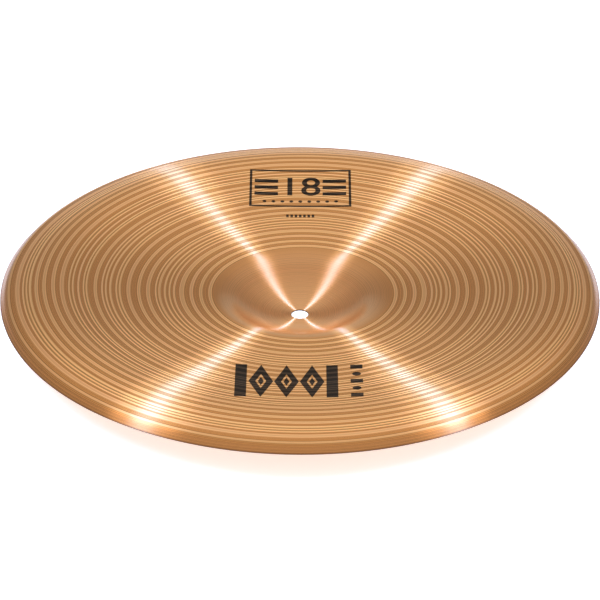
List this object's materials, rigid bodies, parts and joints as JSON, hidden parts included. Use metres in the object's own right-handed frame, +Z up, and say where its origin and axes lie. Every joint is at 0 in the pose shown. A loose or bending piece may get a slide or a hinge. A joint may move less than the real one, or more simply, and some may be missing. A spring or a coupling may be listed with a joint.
{
  "type": "china cymbal",
  "caption": "China cymbal of lathed bronze, bell down: round holed bell, wide shallow bow and a flange that folds back at the edge.",
  "frame": {"origin": "on the axis of the hole, on the flat lower face of the bell's crown, which is the lowest point", "axes": "+Z up along the hole's axis, out of the open side of the bell; +Y away from the viewer of the picture; +X to the viewer's right"},
  "size_m": [0.4572, 0.4572, 0.0341],
  "materials": {
    "bronze": "lathed sheet bronze with concentric tonal grooves, brilliant along radial streaks"
  },
  "bodies": {
    "root": {"cymbal": "bronze"}
  },
  "joints": []
}
